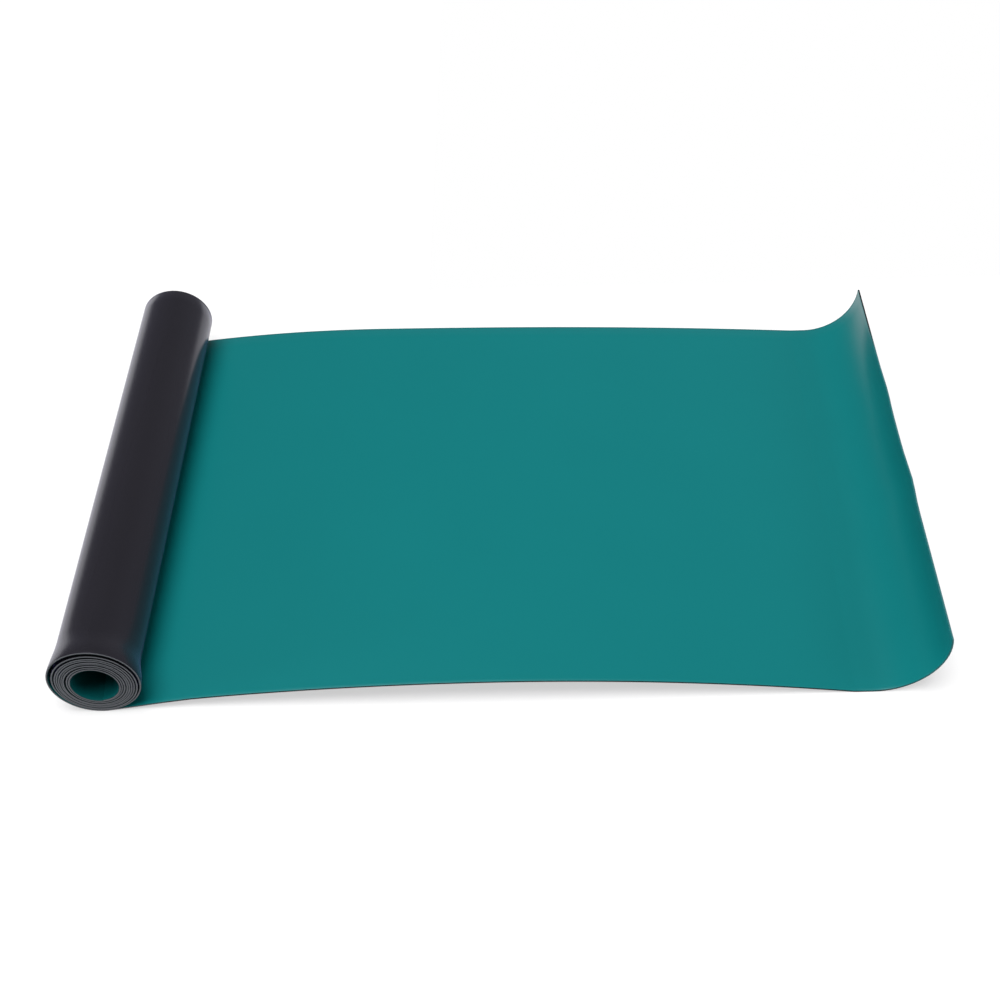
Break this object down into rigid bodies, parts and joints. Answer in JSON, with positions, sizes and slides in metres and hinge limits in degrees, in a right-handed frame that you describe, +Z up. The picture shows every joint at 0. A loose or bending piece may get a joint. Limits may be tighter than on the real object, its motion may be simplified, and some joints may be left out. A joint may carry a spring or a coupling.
{
  "type": "anti static bench mat",
  "caption": "Two-ply rubber bench mat, part unrolled: a wound roll with an open bore, a free sheet with a green work face and black back, and a cut end that curls up.",
  "frame": {"origin": "middle of the mat's footprint, on the floor that the roll and the sheet rest on", "axes": "+X along the free sheet from the roll to the curled end, +Y along the roll's axis to its back end, +Z up"},
  "size_m": [0.9382, 0.6066, 0.0892],
  "materials": {
    "black_backing": "satin black conductive rubber",
    "green_face": "matt blue-green dissipative rubber"
  },
  "bodies": {
    "root": {"black_backing": "black_backing", "green_face": "green_face"}
  },
  "joints": []
}
